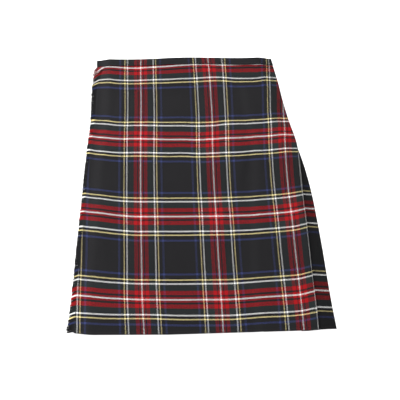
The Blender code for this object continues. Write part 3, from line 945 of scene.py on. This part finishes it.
def place_camera():
    """Looks down on the kilt from its hem side."""
    right = Vector((cos(TURN), -sin(TURN), 0.0))
    ground = Vector((sin(TURN), cos(TURN), 0.0))
    back = -sin(TILT) * ground + cos(TILT) * Vector((0.0, 0.0, 1.0))
    up = back.cross(right)
    data = bpy.data.cameras.new("camera")
    data.lens, data.sensor_width = LENS, SENSOR
    data.clip_start, data.clip_end = 0.05, 50.0
    camera = bpy.data.objects.new("camera", data)
    axes = Matrix((right, up, back)).transposed().to_4x4()
    camera.matrix_world = Matrix.Translation((AIM + DISTANCE * back) * MM) @ axes
    bpy.context.scene.collection.objects.link(camera)
    bpy.context.scene.camera = camera


def add_light(name, size, power, place):
    """A round light that faces the kilt."""
    data = bpy.data.lights.new(name, "AREA")
    data.shape, data.size, data.energy = "DISK", size, power
    lamp = bpy.data.objects.new(name, data)
    lamp.location = place
    lamp.rotation_euler = (-Vector(place)).to_track_quat("-Z", "Y").to_euler()
    bpy.context.scene.collection.objects.link(lamp)


def set_stage():
    """A white floor under even light, with a key light from the left."""
    mesh = bpy.data.meshes.new("floor")
    reach = FLOOR_REACH
    mesh.from_pydata([(-reach, -reach, 0.0), (reach, -reach, 0.0), (reach, reach, 0.0),
                      (-reach, reach, 0.0)], [], [(0, 1, 2, 3)])
    mesh.materials.append(floor_finish())
    ground = bpy.data.objects.new("floor", mesh)
    bpy.context.scene.collection.objects.link(ground)
    world = bpy.data.worlds.new("studio")
    world.use_nodes = True
    light = world.node_tree.nodes["Background"].inputs
    light["Color"].default_value = (1.0, 1.0, 1.0, 1.0)
    light["Strength"].default_value = STUDIO_LIGHT
    bpy.context.scene.world = world
    bpy.context.scene.view_settings.view_transform = "Standard"
    for light_row in LIGHTS:
        add_light(*light_row)


# ---------------------------------------------------------------- the kilt


def front_face(x):
    """Outer face of the over-apron's waistband."""
    return apron_z(x, SEAM) + STEP + HALF


def under_face(x):
    """Outer face of the under-apron's waistband."""
    return under_z(x, SEAM) + STEP + HALF


def back_far_face(x):
    """Far edge of the back's waistband, under the lower of the under-apron and the side pleat."""
    return min(under_z(x, SEAM), side_pleat_z(x, SEAM)) - HALF - GAP


def make_kilt():
    apron = cloth("over_apron_cloth", over_apron_section, FRONT_ROWS, weft_at,
                  tartan("tartan_apron"), "over_apron")
    # the side pleat's tartan gets painted shade: its dyed yarns and haze are painted darker
    side = cloth("side_pleat_cloth", side_pleat_section, FRONT_ROWS, side_weft_at,
                 tartan("tartan_side", SIDE_PAINTED_SHADE), "side_pleat")
    under = cloth("under_apron_cloth", under_apron_section, FRONT_ROWS, back_weft_at,
                  tartan("tartan_under"), "under_apron", UNDER_HEM_SHORT)
    back = cloth("back_pleats_cloth", back_section, BACK_ROWS, back_weft_at,
                 tartan("tartan_back"), "back_pleats", BACK_HEM_SHORT)
    yarns = fringe(fringe_yarn())

    band_cloth, thread = tartan("tartan_band"), sewing_thread()
    left, right = outline(SEAM, LEFT_SIDE), outline(SEAM, RIGHT_SIDE)
    front_ends = (LEFT_BAND_END, outline(SEAM, APRON_FOLD) + GAP)
    under_ends = (left, right - UNDER_EDGE_INSET)
    back_ends = (left, right)
    front_band = band("front_waistband", front_ends, front_face,
                      lambda x: front_face(x) - 2 * WALL - GAP, -1, "front_band", band_cloth,
                      loose=True)
    under_band = band("under_waistband", under_ends, under_face,
                      lambda x: under_face(x) - 2 * WALL - GAP, -1, "under_band", band_cloth)
    back_band = band("back_waistband", back_ends, lambda x: 0.0, back_far_face, 1, "back_band",
                     band_cloth)
    front_stitches = stitch_row("front_band_stitches", front_ends, SEAM + STITCH_INSET,
                                front_face, thread)
    tape_finish = woven_tape()
    tape("fastening_loop_tape", under_z(TAPE_LEFT, SEAM) + STEP + HALF + GAP, "closure_loop",
         tape_finish)
    tape("fastening_hook_tape", apron_z(TAPE_LEFT, SEAM) - HALF - STEP, "closure_hook",
         tape_finish)


place_camera()
set_stage()
make_kilt()
